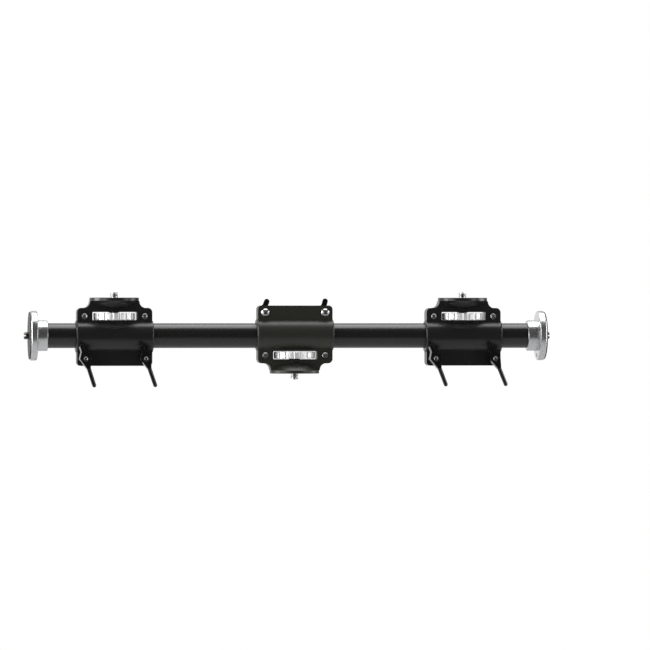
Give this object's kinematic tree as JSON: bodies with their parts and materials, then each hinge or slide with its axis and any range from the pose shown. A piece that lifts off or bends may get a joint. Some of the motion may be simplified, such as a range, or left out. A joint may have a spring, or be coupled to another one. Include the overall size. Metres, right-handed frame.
{
  "type": "tripod crossbar",
  "caption": "Horizontal camera bar: a round tube with a threaded plate on each end and clamp brackets that slide and turn on it, the middle one hung seat down to fit a stand.",
  "frame": {"origin": "middle of the centre clamp's seat face, where the bar stands on its stand", "axes": "+X along the bar to the right end, -Z out of the centre clamp's seat into the stand, -Y towards the side that the side clamps' levers are on"},
  "size_m": [0.6424, 0.06, 0.1152],
  "materials": {
    "casting_black": "semi-gloss black powder coat on a casting",
    "tube_black": "satin black anodised tube",
    "turned_aluminium": "bare, finely turned",
    "pad_grey": "matt dark facing",
    "bright_steel": "bright plated",
    "steel": "plated steel",
    "nylon": "moulded nylon",
    "lever_black": "glossy black die casting"
  },
  "bodies": {
    "centre_clamp": {"centre_front_shell": "casting_black", "centre_back_shell": "casting_black", "centre_shell_screws": "steel", "centre_shell_nuts": "steel", "centre_clamp_bolts": "bright_steel", "centre_washers": "steel"},
    "centre_liner_body": {"centre_liner": "nylon"},
    "bar": {"tube": "tube_black", "left_flange": "turned_aluminium", "left_pad": "pad_grey", "left_end_stud": "steel", "left_lock_screws": "steel", "right_flange": "turned_aluminium", "right_pad": "pad_grey", "right_end_stud": "steel", "right_lock_screws": "steel"},
    "left_liner_body": {"left_liner": "nylon"},
    "left_clamp": {"left_front_shell": "casting_black", "left_back_shell": "casting_black", "left_shell_screws": "steel", "left_shell_nuts": "steel", "left_clamp_bolts": "bright_steel", "left_washers": "steel"},
    "right_liner_body": {"right_liner": "nylon"},
    "right_clamp": {"right_front_shell": "casting_black", "right_back_shell": "casting_black", "right_shell_screws": "steel", "right_shell_nuts": "steel", "right_clamp_bolts": "bright_steel", "right_washers": "steel"},
    "left_wheel": {"left_thumb_wheel": "turned_aluminium", "left_stud": "bright_steel"},
    "left_lever_a_body": {"left_lever_a": "lever_black", "left_bush_a": "steel", "left_keeper_a": "steel"},
    "left_lever_b_body": {"left_lever_b": "lever_black", "left_bush_b": "steel", "left_keeper_b": "steel"},
    "centre_wheel": {"centre_thumb_wheel": "turned_aluminium", "centre_stud": "bright_steel"},
    "centre_lever_a_body": {"centre_lever_a": "lever_black", "centre_bush_a": "steel", "centre_keeper_a": "steel"},
    "centre_lever_b_body": {"centre_lever_b": "lever_black", "centre_bush_b": "steel", "centre_keeper_b": "steel"},
    "right_wheel": {"right_thumb_wheel": "turned_aluminium", "right_stud": "bright_steel"},
    "right_lever_a_body": {"right_lever_a": "lever_black", "right_bush_a": "steel", "right_keeper_a": "steel"},
    "right_lever_b_body": {"right_lever_b": "lever_black", "right_bush_b": "steel", "right_keeper_b": "steel"}
  },
  "joints": [
    {"name": "bar_turn", "type": "hinge", "parent": "centre_clamp", "child": "centre_liner_body", "pos_m": [0, 0, 0.046], "axis": [1, 0, 0], "continuous": true},
    {"name": "bar_slide", "type": "slide", "parent": "centre_liner_body", "child": "bar", "axis": [1, 0, 0], "range_m": [-0.03, 0.03]},
    {"name": "left_clamp_slide", "type": "slide", "parent": "bar", "child": "left_liner_body", "axis": [1, 0, 0], "range_m": [-0.02, 0.03]},
    {"name": "left_clamp_turn", "type": "hinge", "parent": "left_liner_body", "child": "left_clamp", "pos_m": [-0.2196, 0, 0.046], "axis": [1, 0, 0], "continuous": true},
    {"name": "right_clamp_slide", "type": "slide", "parent": "bar", "child": "right_liner_body", "axis": [1, 0, 0], "range_m": [-0.03, 0.02]},
    {"name": "right_clamp_turn", "type": "hinge", "parent": "right_liner_body", "child": "right_clamp", "pos_m": [0.2064, 0, 0.046], "axis": [1, 0, 0], "continuous": true},
    {"name": "left_wheel_spin", "type": "hinge", "parent": "left_clamp", "child": "left_wheel", "pos_m": [-0.2196, 0, 0.07], "axis": [0, 0, 1], "continuous": true},
    {"name": "left_lever_a_turn", "type": "hinge", "parent": "left_clamp", "child": "left_lever_a_body", "pos_m": [-0.2561, -0.0222, 0.0182], "axis": [0, -1, 0], "range_deg": [0, 270]},
    {"name": "left_lever_b_turn", "type": "hinge", "parent": "left_clamp", "child": "left_lever_b_body", "pos_m": [-0.1831, -0.0222, 0.0182], "axis": [0, -1, 0], "range_deg": [0, 270]},
    {"name": "centre_wheel_spin", "type": "hinge", "parent": "centre_clamp", "child": "centre_wheel", "pos_m": [0, 0, 0.022], "axis": [0, 0, 1], "continuous": true},
    {"name": "centre_lever_a_turn", "type": "hinge", "parent": "centre_clamp", "child": "centre_lever_a_body", "pos_m": [-0.0365, 0.0222, 0.0738], "axis": [0, 1, 0], "range_deg": [0, 270]},
    {"name": "centre_lever_b_turn", "type": "hinge", "parent": "centre_clamp", "child": "centre_lever_b_body", "pos_m": [0.0365, 0.0222, 0.0738], "axis": [0, 1, 0], "range_deg": [0, 270]},
    {"name": "right_wheel_spin", "type": "hinge", "parent": "right_clamp", "child": "right_wheel", "pos_m": [0.2064, 0, 0.07], "axis": [0, 0, 1], "continuous": true},
    {"name": "right_lever_a_turn", "type": "hinge", "parent": "right_clamp", "child": "right_lever_a_body", "pos_m": [0.1699, -0.0222, 0.0182], "axis": [0, -1, 0], "range_deg": [0, 270]},
    {"name": "right_lever_b_turn", "type": "hinge", "parent": "right_clamp", "child": "right_lever_b_body", "pos_m": [0.2429, -0.0222, 0.0182], "axis": [0, -1, 0], "range_deg": [0, 270]}
  ]
}
